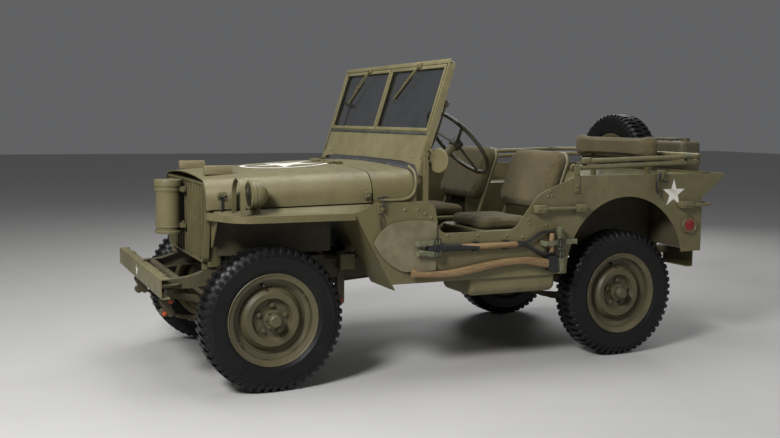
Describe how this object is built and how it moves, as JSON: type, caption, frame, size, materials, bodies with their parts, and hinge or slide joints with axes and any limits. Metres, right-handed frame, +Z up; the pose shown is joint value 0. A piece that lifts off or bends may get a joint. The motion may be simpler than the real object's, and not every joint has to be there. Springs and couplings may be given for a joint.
{
  "type": "army 4x4 utility car",
  "caption": "Open army 4x4 utility car with fold-down windshield, slatted grille, side tools, spare wheel and fuel can at the rear",
  "frame": {"origin": "on the floor below the middle of the car's box", "axes": "+X forward, +Y to the car's left, +Z up"},
  "size_m": [3.395, 1.5507, 1.6166],
  "materials": {
    "olive_paint": "matte olive paint over pressed steel",
    "chassis_paint": "matte olive paint, dusty",
    "tyre_rubber": "black rubber, dusty",
    "glass": "clear flat glass",
    "canvas": "olive cotton canvas",
    "wood": "oiled ash",
    "black_steel": "black painted steel",
    "cast_iron": "cast and machined iron",
    "lamp": "glass in a painted bowl",
    "red_lens": "red moulded lens",
    "wheel_rim_black": "moulded rim",
    "mirror": "silvered glass in a painted back"
  },
  "bodies": {
    "root": {"frame_rails": "chassis_paint", "frame_cross_members": "chassis_paint", "bumpers": "olive_paint", "pintle_hook": "chassis_paint", "leaf_springs": "chassis_paint", "spring_hangers": "chassis_paint", "front_axle": "chassis_paint", "rear_axle": "chassis_paint", "spare_tyre": "tyre_rubber", "spare_wheel": "olive_paint", "rear_carriers": "olive_paint", "fuel_can": "olive_paint", "engine_block": "cast_iron", "gearbox": "cast_iron", "propshafts": "chassis_paint", "exhaust": "cast_iron", "radiator": "black_steel", "grille": "olive_paint", "headlamps": "lamp", "front_can": "olive_paint", "cowl": "olive_paint", "fenders": "olive_paint", "body_sides": "olive_paint", "rear_panel": "olive_paint", "floor_pan": "olive_paint", "wheel_wells": "olive_paint", "hinge_brackets": "olive_paint", "steering_column": "olive_paint", "seat_frames": "olive_paint", "seat_cushions": "canvas", "fuel_tank": "olive_paint", "tool_handles": "wood", "tool_steel": "black_steel", "grab_handles": "olive_paint", "lamps_and_reflectors": "red_lens", "blackout_lamp": "olive_paint", "control_levers": "black_steel"},
    "knuckle_left": {"knuckle_left": "chassis_paint"},
    "knuckle_right": {"knuckle_right": "chassis_paint"},
    "tie_rod": {"tie_rod": "chassis_paint"},
    "wheel_fl": {"tyre_fl": "tyre_rubber", "wheel_fl": "olive_paint"},
    "wheel_fr": {"tyre_fr": "tyre_rubber", "wheel_fr": "olive_paint"},
    "wheel_rl": {"tyre_rl": "tyre_rubber", "wheel_rl": "olive_paint"},
    "wheel_rr": {"tyre_rr": "tyre_rubber", "wheel_rr": "olive_paint"},
    "windshield": {"windshield_frame": "olive_paint", "windshield_glass": "glass", "wipers": "black_steel", "rear_mirror": "mirror"},
    "hood": {"hood": "olive_paint"},
    "rear_bow": {"rear_bow": "olive_paint"},
    "front_bow": {"front_bow": "olive_paint"},
    "steering_wheel": {"steering_wheel": "wheel_rim_black"}
  },
  "joints": [
    {"name": "steer_left", "type": "hinge", "parent": "root", "child": "knuckle_left", "pos_m": [1.1785, 0.508, 0.352], "axis": [0, 0, 1], "range_deg": [-26, 26]},
    {"name": "steer_right", "type": "hinge", "parent": "root", "child": "knuckle_right", "pos_m": [1.1785, -0.508, 0.352], "axis": [0, 0, 1], "range_deg": [-26, 26]},
    {"name": "tie_rod_pivot", "type": "hinge", "parent": "knuckle_left", "child": "tie_rod", "pos_m": [1.3435, 0.47, 0.352], "axis": [0, 0, 1], "range_deg": [-26, 26]},
    {"name": "steering_wheel_turn", "type": "hinge", "parent": "root", "child": "steering_wheel", "pos_m": [0.0365, 0.367, 1.191], "axis": [-0.749, 0, 0.6626], "range_deg": [-364, 364]},
    {"name": "wheel_fl_spin", "type": "hinge", "parent": "knuckle_left", "child": "wheel_fl", "pos_m": [1.1785, 0.613, 0.352], "axis": [0, 1, 0], "continuous": true},
    {"name": "wheel_fr_spin", "type": "hinge", "parent": "knuckle_right", "child": "wheel_fr", "pos_m": [1.1785, -0.613, 0.352], "axis": [0, 1, 0], "continuous": true},
    {"name": "wheel_rl_spin", "type": "hinge", "parent": "root", "child": "wheel_rl", "pos_m": [-0.8535, 0.613, 0.352], "axis": [0, 1, 0], "continuous": true},
    {"name": "wheel_rr_spin", "type": "hinge", "parent": "root", "child": "wheel_rr", "pos_m": [-0.8535, -0.613, 0.352], "axis": [0, 1, 0], "continuous": true},
    {"name": "windshield_fold", "type": "hinge", "parent": "root", "child": "windshield", "pos_m": [0.4025, 0, 1.11], "axis": [0, -1, 0], "range_deg": [-104, 0]},
    {"name": "hood_lift", "type": "hinge", "parent": "root", "child": "hood", "pos_m": [0.6785, 0, 1.082], "axis": [0, -1, 0], "range_deg": [0, 118]},
    {"name": "rear_bow_raise", "type": "hinge", "parent": "root", "child": "rear_bow", "pos_m": [-0.4975, 0, 1.062], "axis": [0, 1, 0], "range_deg": [0, 58]},
    {"name": "front_bow_raise", "type": "hinge", "parent": "rear_bow", "child": "front_bow", "pos_m": [-0.5775, 0, 1.098], "axis": [0, 1, 0], "range_deg": [0, 75]}
  ],
  "couplings": [
    {"joint": "steer_right", "follows": "steer_left", "ratio": 1},
    {"joint": "tie_rod_pivot", "follows": "steer_left", "ratio": -1},
    {"joint": "steering_wheel_turn", "follows": "steer_left", "ratio": 14}
  ]
}
